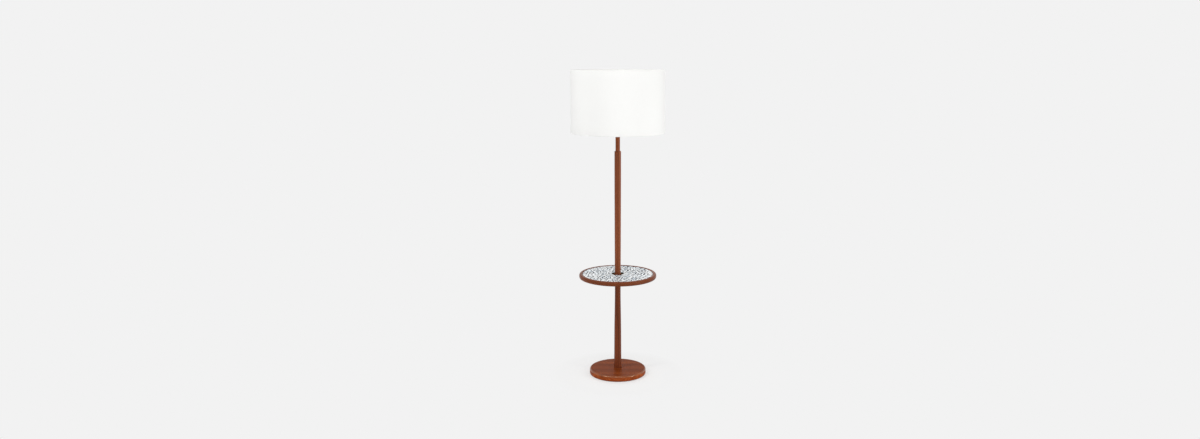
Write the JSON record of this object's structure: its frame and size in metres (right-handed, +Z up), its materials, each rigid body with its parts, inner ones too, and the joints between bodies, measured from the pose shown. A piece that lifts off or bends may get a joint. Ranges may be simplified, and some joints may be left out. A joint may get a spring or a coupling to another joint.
{
  "type": "floor lamp with table",
  "caption": "Floor lamp with a white drum shade, a turned wooden post on a round base and a round wood-rimmed mosaic table at knee height on the post.",
  "frame": {"origin": "centre of the base's underside, on the floor", "axes": "+Z up along the post; -Y to the front, where the switch knob points; +Y to the cord inlet; the harp stands in the XZ plane"},
  "size_m": [0.4572, 0.457, 1.5113],
  "materials": {
    "walnut": "walnut stain with a satin lacquer, the grain along each piece",
    "dark_walnut": "dark walnut stain, matt",
    "plywood": "bare birch plywood",
    "felt": "dark brown pressed felt",
    "cast_iron": "bare casting, dark",
    "steel": "zinc plated",
    "brass": "satin lacquered brass",
    "black_plastic": "black moulded plastic",
    "card": "pressed card sleeve",
    "grout": "pale grey cement grout",
    "mosaic": "white and pale blue chips with grey specks, satin glaze",
    "bulb_metal": "plain bright metal",
    "bulb_housing": "white moulded plastic",
    "bulb_diffuser": "frosted white plastic",
    "circuit_board": "green printed circuit board",
    "led_board": "white board with light diodes",
    "shade_fabric": "white plain-woven linen look",
    "shade_liner": "white stiff shade film",
    "hem_tape": "white self-coloured hem tape",
    "white_wire": "white powder coat"
  },
  "bodies": {
    "stand": {"felt_pad": "felt", "base_disc": "walnut", "lower_post": "walnut", "table_rim": "walnut", "upper_post": "walnut", "neck": "walnut", "table_hub": "dark_walnut", "table_core": "plywood", "base_weight": "cast_iron", "base_washer": "steel", "lock_washer": "steel", "lower_pipe": "steel", "hub_screws": "steel", "upper_pipe": "steel", "cap_screw": "steel", "cord_bushing": "black_plastic", "socket_core": "black_plastic", "mosaic_bed": "grout", "mosaic_tiles": "mosaic", "base_nut": "brass", "pipe_coupling": "brass", "check_ring": "brass", "harp_saddle": "brass", "harp_bow": "brass", "harp_stud": "brass", "socket_cap": "brass", "socket_shell": "brass", "thread_sleeve": "brass", "centre_contact": "brass", "terminal_screws": "brass", "socket_liner": "card"},
    "switch": {"switch_shaft": "brass", "switch_knob": "black_plastic"},
    "bulb": {"bulb_contact": "bulb_metal", "bulb_cap": "bulb_metal", "bulb_insulator": "black_plastic", "bulb_housing": "bulb_housing", "driver_board": "circuit_board", "led_board": "led_board", "bulb_diffuser": "bulb_diffuser"},
    "shade": {"shade_fabric": "shade_fabric", "shade_liner": "shade_liner", "hem_tapes": "hem_tape", "top_ring": "white_wire", "bottom_ring": "white_wire", "spider_arms": "white_wire", "spider_hub": "white_wire"},
    "finial": {"finial": "brass"},
    "left_sleeve": {"left_sleeve": "brass"},
    "right_sleeve": {"right_sleeve": "brass"}
  },
  "joints": [
    {"name": "switch_turn", "type": "hinge", "parent": "stand", "child": "switch", "pos_m": [0, 0, 1.2586], "axis": [0, -1, 0], "continuous": true},
    {"name": "bulb_turn", "type": "hinge", "parent": "stand", "child": "bulb", "pos_m": [0, 0, 1.2725], "axis": [0, 0, 1], "continuous": true},
    {"name": "shade_turn", "type": "hinge", "parent": "stand", "child": "shade", "pos_m": [0, 0, 1.4873], "axis": [0, 0, 1], "continuous": true},
    {"name": "finial_turn", "type": "hinge", "parent": "stand", "child": "finial", "pos_m": [0, 0, 1.4896], "axis": [0, 0, 1], "continuous": true},
    {"name": "left_sleeve_lift", "type": "slide", "parent": "stand", "child": "left_sleeve", "axis": [0, 0, 1], "range_m": [0, 0.012]},
    {"name": "right_sleeve_lift", "type": "slide", "parent": "stand", "child": "right_sleeve", "axis": [0, 0, 1], "range_m": [0, 0.012]}
  ]
}
